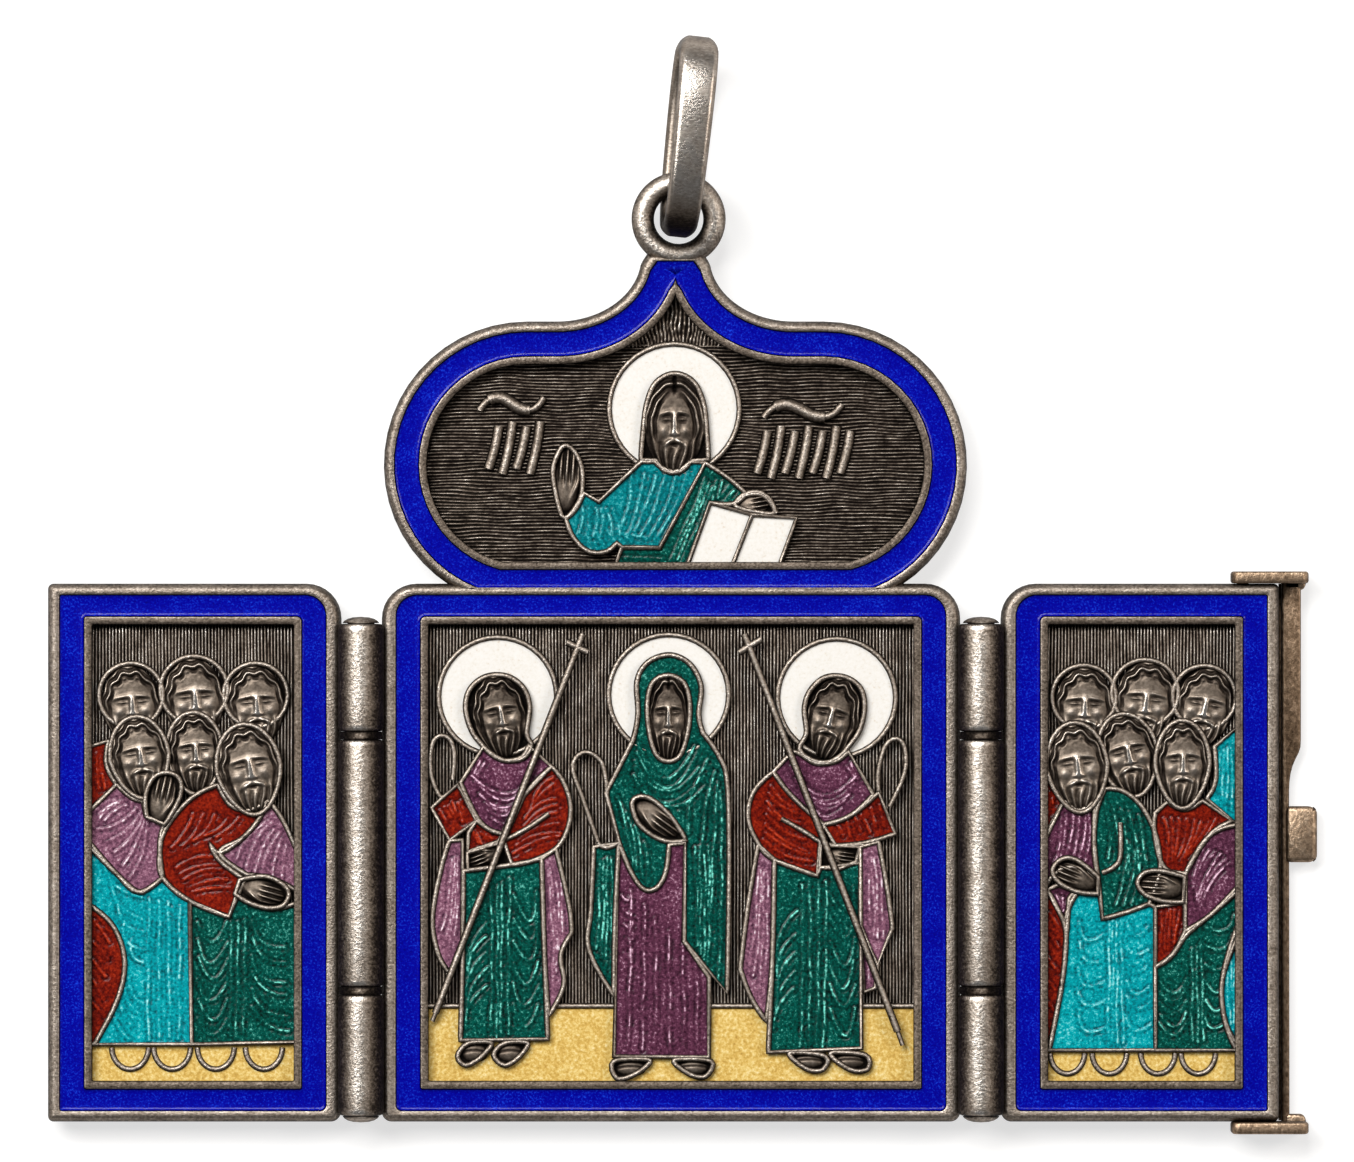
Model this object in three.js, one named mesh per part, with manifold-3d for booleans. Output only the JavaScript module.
// A folding triptych pendant icon in cast silver with enamel, lying on its back with both wings open.
// Millimetres. +Z is up, out of the enamelled fronts; +Y runs towards the bail; the origin is at the
// middle of the centre leaf's flat back. The wings fold 180 degrees on to the centre leaf.
import * as THREE from "three";
import { mergeVertices } from "three/addons/utils/BufferGeometryUtils.js";
import Module from "manifold-3d";

const wasm = await Module();
wasm.setup();

// ---------------------------------------------------------------- driving sizes

const HALF_TURN = Math.PI;
const QUARTER = Math.PI / 2;

const leaf = {
  thick: 2.0, // flat back to the tops of the rims
  half: 13.42, // half the height of the three rectangular leaves
  flankWide: 0.27, // the sloping flank below the outer rim
  flankDeep: 0.6,
  fieldFloor: 1.15, // the sunk ground behind the figures
  bedFloor: 1.37, // the bed under the border enamel
  enamelTop: 1.9,
  fit: 0.03, // between a fired enamel and the walls of its bed
};

// How far in from the leaf's edge each step of the frame lies: beside a hinge, at an outer edge, at an end.
const steps = {
  edge: { hinge: 0, outer: 0, end: 0 },
  bedOut: { hinge: 0.72, outer: 0.6, end: 0.56 },
  bedIn: { hinge: 1.94, outer: 1.82, end: 1.64 },
  field: { hinge: 2.34, outer: 2.22, end: 2.04 },
};
// Corner radii at those steps: the round shoulder by a hinge, its small foot, and the square outer corner.
const corners = {
  edge: { shoulder: 1.75, foot: 0.5, square: 0.28 },
  bedOut: { shoulder: 1.05, foot: 0.3, square: 0.12 },
  bedIn: { shoulder: 0.25, foot: 0.12, square: 0.12 },
  field: { shoulder: 0.08, foot: 0.08, square: 0.08 },
};

const hinge = {
  x: 15.45, // each hinge axis from the middle
  z: leaf.thick + 0.1, // just above the rims, so that the fronts close face to face
  leafGap: 1.02, // axis to the edge of each leaf
  radius: 1.15,
  bore: 0.74,
  pin: 0.68,
  round: 0.16, // rounding of a knuckle's ends
  headRadius: 0.92,
  headTall: 0.32,
  headGap: 0.03,
  // The three knuckles: two short ones on the centre leaf, the long one between them on the wing.
  centreKnuckles: [
    [6.05, 11.42],
    [-13.08, -7.05],
  ],
  wingKnuckle: [-6.65, 5.65],
  webInner: 0.82, // the web that joins a knuckle to its leaf, from the axis outwards
  webOuter: 1.5,
  webLow: 1.2,
  webHigh: 1.85,
};

const leftWingWide = 14.61; // edge to edge
const rightWingWide = 13.86;

// The crest: a long oval with concave shoulders that rise to a narrow cut-off neck.
const crest = {
  x: 0.22, // it was cast a little to the right of the leaf's middle
  y: 19.35, // the oval's middle
  endX: 7.4, // centres of the round ends, from the crest's middle
  endRadius: 7.15,
  neckX: 5.9, // centre of each shoulder's quarter ellipse
  neckY: 29.75,
  neckWide: 4.2,
  neckDeep: 3.25,
  top: 29.85,
  bedOut: 0.53, // the frame's steps, in from the outline
  bedIn: 1.75,
  field: 2.15,
  bedOutFoot: 13.2, // where the border's foot is cut straight above the leaf
  bedInFoot: 14.12,
  fieldFoot: 14.5,
  bedOutTop: 29.5,
  bedInTop: 28.2,
  fieldTop: 27.75,
};

const eyelet = { x: 0.38, y: 31.6, z: 1.5, ringRadius: 1.79, wire: 0.56 };

const bail = {
  tall: 10.05, // end to end along the loop
  deep: 6.0, // front leg to back leg, outside
  band: 0.75, // thickness of the band
  wide: 1.9,
  chamfer: 0.22,
  foot: -0.92, // the loop's foot below the eyelet's centre
  leanDeg: 6, // to the right, going up
  rollDeg: 4.5, // about its own length: the back leg shows at the left
};

// The clasp: one bent clip that springs over a stub at each end of the right wing.
const clasp = {
  pivotX: 28.55,
  pivotZ: 0.8,
  stub: 0.3,
  bore: 0.36,
  earInner: 13.48,
  earThick: 0.55,
  earLeft: 27.95,
  earRight: 31.8,
  earLow: 0.1,
  earHigh: 2.1,
  barInner: 30.5,
  barWide: 31.47, // outer edge above the bend
  barNarrow: 30.9, // and below it
  bendTop: 5.1,
  bendFoot: 3.1,
  barLow: 0.06,
  barHigh: 0.72,
  tabLeft: 30.72,
  tabRight: 32.27,
  tabTop: 2.3,
  tabFoot: -0.5,
  tabHigh: 0.95,
};
// The rebate along the left wing's outer back edge that the closed clip drops into, and its wider notch.
const rebate = { wide: 0.85, deep: 0.85, notchWide: 1.65, notchDeep: 1.08, clear: 0.12 };

const figures = { robeTop: 1.62, haloTop: 1.62, nicheFloor: 1.22, staffTop: 1.8, headTop: 1.8 };

const silver = new THREE.MeshStandardMaterial({ color: 0x8d857a, roughness: 0.38, metalness: 1 });
const blueEnamel = new THREE.MeshStandardMaterial({ color: 0x0a14a8, roughness: 0.12, metalness: 0 });

// ---------------------------------------------------------------- solids

function solid(geometry) {
  geometry.deleteAttribute("normal");
  geometry.deleteAttribute("uv");
  const merged = mergeVertices(geometry, 1e-4);
  return new wasm.Manifold(
    new wasm.Mesh({
      numProp: 3,
      vertProperties: merged.attributes.position.array,
      triVerts: new Uint32Array(merged.index.array),
    }),
  );
}

function namedMesh(name, made, material) {
  const { vertProperties, triVerts } = made.getMesh();
  const geometry = new THREE.BufferGeometry();
  geometry.setAttribute("position", new THREE.BufferAttribute(vertProperties, 3));
  geometry.setIndex(new THREE.BufferAttribute(triVerts, 1));
  geometry.computeVertexNormals();
  const mesh = new THREE.Mesh(geometry, material);
  mesh.name = name;
  return mesh;
}

const joined = (solids) => solids.reduce((all, one) => all.add(one));

// A flat plate of an outline between two heights.
function plate(shape, low, high, curveSegments = 6) {
  const geometry = new THREE.ExtrudeGeometry(shape, { depth: high - low, bevelEnabled: false, curveSegments });
  return solid(geometry.translate(0, 0, low));
}

// A plate whose outline is full at half height and drawn in at both faces.
function bevelledPlate(shape, low, high, inset, deep, curveSegments = 6) {
  const geometry = new THREE.ExtrudeGeometry(shape, {
    depth: high - low - 2 * deep,
    bevelSize: inset,
    bevelThickness: deep,
    bevelOffset: -inset,
    bevelSegments: 1,
    curveSegments,
  });
  return solid(geometry.translate(0, 0, low + deep));
}

function polygon(points) {
  return new THREE.Shape(points.map(([x, y]) => new THREE.Vector2(x, y)));
}

function box(x0, x1, y0, y1, z0, z1) {
  const geometry = new THREE.BoxGeometry(x1 - x0, y1 - y0, z1 - z0);
  return solid(geometry.translate((x0 + x1) / 2, (y0 + y1) / 2, (z0 + z1) / 2));
}

// A cylinder along Y.
function rod(x, z, radius, y0, y1, sides = 16) {
  const geometry = new THREE.CylinderGeometry(radius, radius, y1 - y0, sides);
  return solid(geometry.translate(x, (y0 + y1) / 2, z));
}

// ---------------------------------------------------------------- the leaves' frames

// A rectangle with a radius for each corner: foot left, foot right, top right, top left.
function roundedRectangle(left, right, foot, top, [fl, fr, tr, tl]) {
  const points = [];
  const corner = (x, y, radius, start) => {
    const count = radius > 0.6 ? 5 : radius > 0.2 ? 3 : 1;
    for (let i = 0; i <= count; i++) {
      const angle = start + (QUARTER * i) / count;
      points.push([x + radius * Math.cos(angle), y + radius * Math.sin(angle)]);
    }
  };
  corner(left + fl, foot + fl, fl, HALF_TURN);
  corner(right - fr, foot + fr, fr, -QUARTER);
  corner(right - tr, top - tr, tr, 0);
  corner(left + tl, top - tl, tl, QUARTER);
  return polygon(points);
}

const centreLeaf = { left: hinge.leafGap - hinge.x, right: hinge.x - hinge.leafGap, sides: ["hinge", "hinge"] };
const leftLeaf = {
  left: -hinge.x - hinge.leafGap - leftWingWide,
  right: -hinge.x - hinge.leafGap,
  sides: ["outer", "hinge"],
};
const rightLeaf = {
  left: hinge.x + hinge.leafGap,
  right: hinge.x + hinge.leafGap + rightWingWide,
  sides: ["hinge", "outer"],
};

// The outline of a leaf at one step of its frame, drawn in by a further amount.
function leafOutline(plan, step, further = 0) {
  const [leftSide, rightSide] = plan.sides;
  const inset = steps[step];
  const radii = corners[step];
  const topRadius = (side) => (side === "hinge" ? radii.shoulder : radii.square);
  const footRadius = (side) => (side === "hinge" ? radii.foot : radii.square);
  const end = leaf.half - inset.end - further;
  return roundedRectangle(
    plan.left + inset[leftSide] + further,
    plan.right - inset[rightSide] - further,
    -end,
    end,
    [footRadius(leftSide), footRadius(rightSide), topRadius(rightSide), topRadius(leftSide)],
  );
}

// The crest's outline, offset inwards, cut straight at its foot and top.
function crestOutline(inset, foot, top, count = 9) {
  const round = crest.endRadius - inset;
  const wide = crest.neckWide + inset;
  const deep = crest.neckDeep + inset;
  const start = -Math.asin(Math.min(1, (crest.y - foot) / round));
  const stop = Math.asin(Math.max(0, (crest.neckY - top) / deep));
  const half = [];
  for (let i = 0; i <= count; i++) {
    const angle = start + ((QUARTER - start) * i) / count;
    half.push([crest.endX + round * Math.cos(angle), crest.y + round * Math.sin(angle)]);
  }
  for (let i = 0; i <= count; i++) {
    const angle = QUARTER + ((stop - QUARTER) * i) / count;
    half.push([crest.neckX - wide * Math.cos(angle), crest.neckY - deep * Math.sin(angle)]);
  }
  if (top > crest.neckY) half.push([crest.neckX - wide, top]);
  const left = half.map(([x, y]) => [crest.x - x, y]).reverse();
  return polygon([...half.map(([x, y]) => [crest.x + x, y]), ...left]);
}

// The body of a leaf: a slab with a flat back and a sloping front flank.
function leafBody(outline) {
  const twice = bevelledPlate(outline, -leaf.thick, leaf.thick, leaf.flankWide, leaf.flankDeep);
  return twice.trimByPlane([0, 0, 1], 0);
}

function ringShape(outer, inner) {
  const shape = outer.clone();
  shape.holes.push(new THREE.Path(inner.getPoints(7)));
  return shape;
}

// What is cut from a leaf: the bed round the border, and the sunk field.
function frameCuts(plan) {
  const above = leaf.thick + 1;
  const bed = ringShape(leafOutline(plan, "bedOut"), leafOutline(plan, "bedIn"));
  return plate(bed, leaf.bedFloor, above).add(plate(leafOutline(plan, "field"), leaf.fieldFloor, above));
}

function crestCuts() {
  const above = leaf.thick + 1;
  const bed = ringShape(
    crestOutline(crest.bedOut, crest.bedOutFoot, crest.bedOutTop),
    crestOutline(crest.bedIn, crest.bedInFoot, crest.bedInTop),
  );
  const field = crestOutline(crest.field, crest.fieldFoot, crest.fieldTop);
  return plate(bed, leaf.bedFloor, above).add(plate(field, leaf.fieldFloor, above));
}

function borderEnamel(plan) {
  const shape = ringShape(leafOutline(plan, "bedOut", leaf.fit), leafOutline(plan, "bedIn", -leaf.fit));
  return plate(shape, leaf.bedFloor + leaf.fit, leaf.enamelTop);
}

function crestEnamel() {
  const shape = ringShape(
    crestOutline(crest.bedOut + leaf.fit, crest.bedOutFoot + leaf.fit, crest.bedOutTop - leaf.fit),
    crestOutline(crest.bedIn - leaf.fit, crest.bedInFoot - leaf.fit, crest.bedInTop + leaf.fit),
  );
  return plate(shape, leaf.bedFloor + leaf.fit, leaf.enamelTop);
}

// ---------------------------------------------------------------- hinges

// A bored knuckle with rounded ends, and the web to its leaf. side is +1 where the leaf lies towards +X.
function knuckle(axisX, [y0, y1], side) {
  const { radius, bore, round } = hinge;
  const profile = [
    [bore, y0],
    [radius - round, y0],
    [radius, y0 + round],
    [radius, y1 - round],
    [radius - round, y1],
    [bore, y1],
    [bore, y0],
  ].map(([r, y]) => new THREE.Vector2(r, y));
  const barrel = solid(new THREE.LatheGeometry(profile, 16).translate(axisX, 0, hinge.z));
  const reach = [axisX + side * hinge.webInner, axisX + side * hinge.webOuter].sort((a, b) => a - b);
  return barrel.add(box(...reach, y0 + round, y1 - round, hinge.webLow, hinge.webHigh));
}

// The pin: a straight shank with a low domed head at each end.
function hingePin(axisX) {
  const low = hinge.centreKnuckles[1][0] - hinge.headGap;
  const high = hinge.centreKnuckles[0][1] + hinge.headGap;
  const dome = (y, way) => [
    [hinge.headRadius, y],
    [hinge.headRadius * 0.8, y + way * hinge.headTall * 0.65],
    [0, y + way * hinge.headTall],
  ];
  const profile = [...dome(low, -1).reverse(), [hinge.pin, low], [hinge.pin, high], ...dome(high, 1)];
  const geometry = new THREE.LatheGeometry(
    profile.map(([r, y]) => new THREE.Vector2(r, y)),
    16,
  );
  return solid(geometry.translate(axisX, 0, hinge.z));
}

// ---------------------------------------------------------------- relief on the fields

function disc(x, y, radius, high, sides = 22) {
  const geometry = new THREE.CylinderGeometry(radius, radius, high - leaf.fieldFloor + 0.1, sides);
  return solid(geometry.rotateX(QUARTER).translate(x, y, (high + leaf.fieldFloor - 0.1) / 2));
}

// An upright oval plate or hollow, leaning by an angle.
function ovalPlate(x, y, halfWide, halfTall, low, high, leanDeg = 0, sides = 14) {
  const geometry = new THREE.CylinderGeometry(1, 1, high - low, sides);
  geometry.rotateX(QUARTER).scale(halfWide, halfTall, 1);
  geometry.rotateZ((leanDeg * HALF_TURN) / 180).translate(x, y, (low + high) / 2);
  return solid(geometry);
}

// A head in low relief: an egg with a narrower chin, leaning by an angle.
function head(x, y, halfWide, halfTall, leanDeg = 0) {
  const geometry = new THREE.SphereGeometry(1, 10, 6);
  const at = geometry.attributes.position;
  for (let i = 0; i < at.count; i++) {
    const narrowing = 1 - 0.16 * Math.max(0, -at.getY(i));
    at.setX(i, at.getX(i) * narrowing);
  }
  geometry.scale(halfWide, halfTall, figures.headTop - leaf.fieldFloor + 0.12);
  geometry.rotateZ((leanDeg * HALF_TURN) / 180).translate(x, y, leaf.fieldFloor - 0.12);
  return solid(geometry);
}

function robe(points) {
  return plate(polygon(points), leaf.fieldFloor - 0.1, figures.robeTop);
}

// A straight bar between two points, such as a staff.
function bar([x0, y0], [x1, y1], wide, high) {
  const length = Math.hypot(x1 - x0, y1 - y0);
  const geometry = new THREE.BoxGeometry(length, wide, high - leaf.fieldFloor + 0.1);
  geometry.rotateZ(Math.atan2(y1 - y0, x1 - x0));
  return solid(geometry.translate((x0 + x1) / 2, (y0 + y1) / 2, (high + leaf.fieldFloor - 0.1) / 2));
}

// A standing saint: halo, robe, and a head in a sunk niche.
function saint({ halo, haloRadius, robes, niche, face }) {
  const raised = joined([disc(...halo, haloRadius, figures.haloTop), ...robes.map(robe)]);
  const [x, y, halfWide, halfTall, lean] = niche;
  const hollow = ovalPlate(x, y, halfWide, halfTall, figures.nicheFloor, leaf.thick, lean);
  return raised.subtract(hollow).add(head(...face));
}

const leftSaint = {
  halo: [-8.65, 7.8],
  haloRadius: 2.95,
  niche: [-8.55, 7.1, 1.5, 2.0, 8],
  face: [-8.5, 7.1, 1.08, 1.62, 10],
  robes: [
    [
      [-9.4, 5.4], [-12.0, 2.2], [-11.2, 0.6], [-11.5, -0.9], [-11.9, -3.3], [-11.6, -5.0], [-11.0, -5.9],
      [-10.5, -5.7], [-10.5, -9.4], [-6.2, -9.4], [-6.1, -8.2], [-5.4, -6.6], [-5.5, -5.1], [-5.0, -4.0],
      [-5.1, -2.5], [-5.6, 0.3], [-5.1, 1.5], [-5.2, 3.0], [-6.0, 4.3], [-7.1, 5.5],
    ],
  ],
};
const middleSaint = {
  halo: [-0.12, 7.88],
  haloRadius: 3.08,
  niche: [-0.12, 6.95, 0.95, 2.05, 0],
  face: [-0.12, 6.95, 0.82, 1.85, 0],
  robes: [
    [
      [-1.85, 5.6], [-3.25, 3.0], [-2.6, 0.5], [-3.85, 0.4], [-4.0, -2.9], [-4.1, -4.8], [-2.9, -7.1],
      [-2.9, -10.2], [1.9, -10.2], [1.9, -6.1], [2.8, -7.0], [2.9, -0.4], [2.8, 3.5], [1.5, 5.9],
      [1.6, 7.9], [1.15, 9.3], [-0.1, 9.9], [-1.3, 9.3], [-1.8, 7.9],
    ],
  ],
};
const rightSaint = {
  halo: [8.26, 7.72],
  haloRadius: 2.95,
  niche: [8.1, 7.0, 1.5, 2.0, -12],
  face: [8.05, 7.0, 1.08, 1.62, -14],
  robes: [
    [
      [6.1, 5.1], [4.85, 4.1], [3.95, 2.8], [3.85, 1.9], [4.35, 0.4], [3.75, -2.9], [3.45, -5.8],
      [3.9, -6.9], [4.75, -8.4], [4.8, -9.9], [9.6, -9.9], [9.6, -6.9], [10.2, -6.8], [10.3, -5.6],
      [11.05, -3.75], [10.7, -1.2], [10.3, 0.6], [11.2, 1.0], [10.3, 3.0], [9.2, 5.0],
    ],
  ],
};
const crestFigure = {
  halo: [0.16, 22.13],
  haloRadius: 3.25,
  niche: [0.2, 21.6, 1.5, 2.4, 0],
  face: [0.2, 21.55, 1.1, 1.85, 0],
  robes: [
    [
      [-1.45, 19.65], [-3.65, 17.6], [-4.35, 18.0], [-5.4, 16.8], [-5.2, 15.8], [-4.6, 15.2], [-3.95, 14.95],
      [-2.7, 15.5], [-2.8, 14.4], [5.3, 14.4], [6.2, 16.7], [3.75, 17.9], [1.8, 19.6],
    ],
  ],
};

const staffWide = 0.34;
function centreRelief() {
  const staffs = [
    bar([-11.6, -7.7], [-4.6, 9.9], staffWide, figures.staffTop),
    bar([-5.2, 9.35], [-4.0, 9.0], staffWide, figures.staffTop),
    bar([11.35, -9.1], [3.9, 9.9], staffWide, figures.staffTop),
    bar([3.3, 9.0], [4.5, 9.5], staffWide, figures.staffTop),
  ];
  const groundTop = -7.75;
  const ground = box(centreLeaf.left + 2.2, centreLeaf.right - 2.2, -leaf.half + 1.9, groundTop, 1.1, 1.45);
  const raisedHand = ovalPlate(-5.15, 18.5, 0.8, 1.85, leaf.fieldFloor - 0.1, figures.robeTop, 6);
  const sleeveHand = ovalPlate(-0.6, 3.0, 1.35, 0.75, figures.nicheFloor, leaf.thick, -32);
  const saints = [leftSaint, middleSaint, rightSaint, crestFigure].map(saint);
  return joined([ground, raisedHand, ...saints, ...staffs]).subtract(sleeveHand);
}

// A wing's crowd: three haloed heads behind, three in front, and one mass of robes over the ground.
function wingRelief({ back, front, robes, hands, ground }) {
  const halos = back.map(([x, y, r]) => disc(x, y, r, 1.38, 16));
  const rings = front.map(([x, y, w, h, lean]) => ovalPlate(x, y, w, h, leaf.fieldFloor - 0.1, 1.5, lean));
  const backHeads = back.map(([x, y, r, lean]) => head(x, y - 0.1 * r, 0.68 * r, 0.95 * r, lean));
  const frontHeads = front.map(([x, y, w, h, lean]) => head(x, y, 0.74 * w, 0.84 * h, lean));
  const hollows = hands.map(([x, y, w, h, lean]) =>
    ovalPlate(x, y, w, h, figures.nicheFloor, leaf.thick, lean, 12),
  );
  return joined([box(...ground), ...halos, robe(robes), ...rings, ...backHeads, ...frontHeads]).subtract(
    joined(hollows),
  );
}

const leftCrowd = {
  back: [
    [-26.94, 7.85, 1.57, 4],
    [-23.8, 8.12, 1.64, 4],
    [-20.72, 7.85, 1.57, 4],
  ],
  front: [
    [-26.4, 4.95, 1.4, 1.95, 8],
    [-23.6, 5.2, 1.42, 1.9, 4],
    [-21.0, 4.2, 1.5, 2.15, 10],
  ],
  robes: [
    [-28.75, 6.0], [-28.2, 6.2], [-27.5, 3.6], [-25.6, 2.2], [-24.6, 3.6], [-22.4, 3.6], [-19.6, 3.4],
    [-18.95, 1.4], [-18.95, -9.6], [-28.75, -9.6],
  ],
  hands: [
    [-25.35, 3.1, 0.7, 1.15, -12],
    [-20.2, -1.75, 0.95, 0.5, -12],
  ],
  ground: [-28.8, -18.9, -11.3, -9.5, 1.1, 1.45],
};
const rightCrowd = {
  back: [
    [20.63, 7.69, 1.58, -4],
    [23.7, 7.97, 1.64, -6],
    [26.73, 7.69, 1.5, -10],
  ],
  front: [
    [20.4, 4.3, 1.42, 2.15, 6],
    [23.0, 4.75, 1.45, 2.1, 14],
    [25.6, 4.4, 1.42, 2.2, 2],
  ],
  robes: [
    [18.9, 5.6], [19.4, 5.4], [19.6, 2.2], [21.6, 3.2], [23.4, 2.6], [24.4, 1.4], [26.6, 2.9],
    [27.2, 5.4], [28.0, 5.9], [28.0, -9.8], [18.9, -9.8],
  ],
  hands: [
    [20.3, -1.15, 1.05, 0.65, -28],
    [24.4, -1.9, 0.95, 0.6, -8],
  ],
  ground: [18.85, 28.05, -11.3, -9.7, 1.1, 1.45],
};

// ---------------------------------------------------------------- eyelet, bail and clasp

// The eyelet stands on the neck's top edge, cut off flat where it would reach the enamel.
function eyeletRing() {
  const geometry = new THREE.TorusGeometry(eyelet.ringRadius, eyelet.wire, 8, 20);
  const below = box(eyelet.x - 3, eyelet.x + 3, crest.bedOutTop - 1, crest.bedOutTop + 0.1, -1, 4);
  return solid(geometry.translate(eyelet.x, eyelet.y, eyelet.z)).subtract(below);
}

// A stadium of the given size, standing along Y, with its foot at the origin.
function stadium(wide, tall, inset = 0) {
  const r = wide / 2 - inset;
  const shape = new THREE.Shape();
  shape.absarc(0, wide / 2, r, HALF_TURN, 2 * HALF_TURN, false);
  shape.absarc(0, tall - wide / 2, r, 0, HALF_TURN, false);
  return shape;
}

function bailLoop() {
  const shape = ringShape(stadium(bail.deep, bail.tall), stadium(bail.deep, bail.tall, bail.band));
  const geometry = new THREE.ExtrudeGeometry(shape, {
    depth: bail.wide - 2 * bail.chamfer,
    bevelSize: bail.chamfer,
    bevelThickness: bail.chamfer,
    bevelOffset: -bail.chamfer,
    bevelSegments: 1,
    curveSegments: 7,
  });
  const roll = (bail.rollDeg * HALF_TURN) / 180;
  geometry.translate(bail.deep / 2, bail.foot, bail.chamfer - bail.wide / 2).rotateY(-QUARTER);
  geometry.rotateY(roll).rotateZ((-bail.leanDeg * HALF_TURN) / 180);
  return solid(geometry.translate(eyelet.x, eyelet.y, (bail.wide / 2) * Math.sin(roll)));
}

function clipEar(side) {
  const round = 0.42;
  const corner = [round, round, round, round];
  const profile = roundedRectangle(clasp.earLeft, clasp.earRight, clasp.earLow, clasp.earHigh, corner);
  const chamfer = 0.1;
  const geometry = new THREE.ExtrudeGeometry(profile, {
    depth: clasp.earThick - 2 * chamfer,
    bevelSize: chamfer,
    bevelThickness: chamfer,
    bevelOffset: -chamfer,
    bevelSegments: 1,
  });
  // The profile is drawn in X and Z and thickened along Y, away from the wing.
  geometry.rotateX(QUARTER).translate(0, clasp.earThick - chamfer, 0);
  geometry.translate(0, side > 0 ? clasp.earInner : -clasp.earInner - clasp.earThick, 0);
  return solid(geometry);
}

// The bar between the ears: a sloped strip, wide above its bend and narrow below.
function clipBar() {
  const span = clasp.earInner + clasp.earThick / 2;
  const outline = new THREE.Shape();
  outline.moveTo(clasp.barInner, -span);
  outline.lineTo(clasp.barNarrow, -span);
  outline.lineTo(clasp.barNarrow, clasp.bendFoot);
  outline.bezierCurveTo(
    clasp.barNarrow,
    (clasp.bendFoot + clasp.bendTop) / 2,
    clasp.barWide,
    (clasp.bendFoot + clasp.bendTop) / 2,
    clasp.barWide,
    clasp.bendTop,
  );
  outline.lineTo(clasp.barWide, span);
  outline.lineTo(clasp.barInner, span);
  const strip = plate(outline, clasp.barLow, clasp.barHigh, 6);
  const slope = [
    [clasp.barInner - 0.2, 0.1],
    [clasp.barInner + 0.6, clasp.barHigh + 0.02],
    [clasp.barInner - 0.2, clasp.barHigh + 0.02],
  ];
  const wedge = new THREE.ExtrudeGeometry(polygon(slope), { depth: 4 * span, bevelEnabled: false });
  return strip.subtract(solid(wedge.rotateX(QUARTER).translate(0, 2 * span, 0)));
}

function clipTab() {
  const outline = roundedRectangle(clasp.tabLeft, clasp.tabRight, clasp.tabFoot, clasp.tabTop, [0.2, 0.4, 0.4, 0.2]);
  return bevelledPlate(outline, clasp.barLow, clasp.tabHigh, 0.12, 0.14);
}

function claspClip() {
  const reach = clasp.earInner + clasp.earThick + 1;
  const bore = rod(clasp.pivotX, clasp.pivotZ, clasp.bore, -reach, reach, 12);
  return joined([clipBar(), clipTab(), clipEar(1), clipEar(-1)]).subtract(bore);
}

// ---------------------------------------------------------------- the three leaves

function centreLeafSolid() {
  const body = leafBody(leafOutline(centreLeaf, "edge")).add(leafBody(crestOutline(0, 12.6, crest.top)));
  const framed = body.subtract(frameCuts(centreLeaf).add(crestCuts()));
  const knuckles = [-1, 1].flatMap((side) =>
    hinge.centreKnuckles.map((span) => knuckle(side * hinge.x, span, -side)),
  );
  return joined([framed, centreRelief(), eyeletRing(), ...knuckles]);
}

function leftWingSolid() {
  const { wide, deep, notchWide, notchDeep, clear } = rebate;
  const framed = leafBody(leafOutline(leftLeaf, "edge")).subtract(frameCuts(leftLeaf));
  const edge = leftLeaf.left;
  const channel = box(edge - 1, edge + wide, -leaf.half - 1, leaf.half + 1, -1, deep);
  const notch = box(edge - 1, edge + notchWide, clasp.tabFoot - clear, clasp.tabTop + clear, -1, notchDeep);
  const made = joined([framed, wingRelief(leftCrowd), knuckle(-hinge.x, hinge.wingKnuckle, -1)]);
  return made.subtract(channel.add(notch));
}

function rightWingSolid() {
  const framed = leafBody(leafOutline(rightLeaf, "edge")).subtract(frameCuts(rightLeaf));
  const reach = clasp.earInner + clasp.earThick - 0.03;
  const stubs = [-1, 1].map((side) => {
    const span = [side * (leaf.half - 0.6), side * reach].sort((a, b) => a - b);
    return rod(clasp.pivotX, clasp.pivotZ, clasp.stub, ...span, 12);
  });
  return joined([framed, wingRelief(rightCrowd), knuckle(hinge.x, hinge.wingKnuckle, 1), ...stubs]);
}

// ---------------------------------------------------------------- the pendant

const pendant = new THREE.Group();
pendant.add(
  namedMesh("centre_leaf", centreLeafSolid(), silver),
  namedMesh("left_wing", leftWingSolid(), silver),
  namedMesh("right_wing", rightWingSolid(), silver),
  namedMesh("left_hinge_pin", hingePin(-hinge.x), silver),
  namedMesh("right_hinge_pin", hingePin(hinge.x), silver),
  namedMesh("bail", bailLoop(), silver),
  namedMesh("clasp_clip", claspClip(), silver),
  namedMesh("centre_border_enamel", borderEnamel(centreLeaf), blueEnamel),
  namedMesh("crest_border_enamel", crestEnamel(), blueEnamel),
  namedMesh("left_border_enamel", borderEnamel(leftLeaf), blueEnamel),
  namedMesh("right_border_enamel", borderEnamel(rightLeaf), blueEnamel),
);

export default pendant;
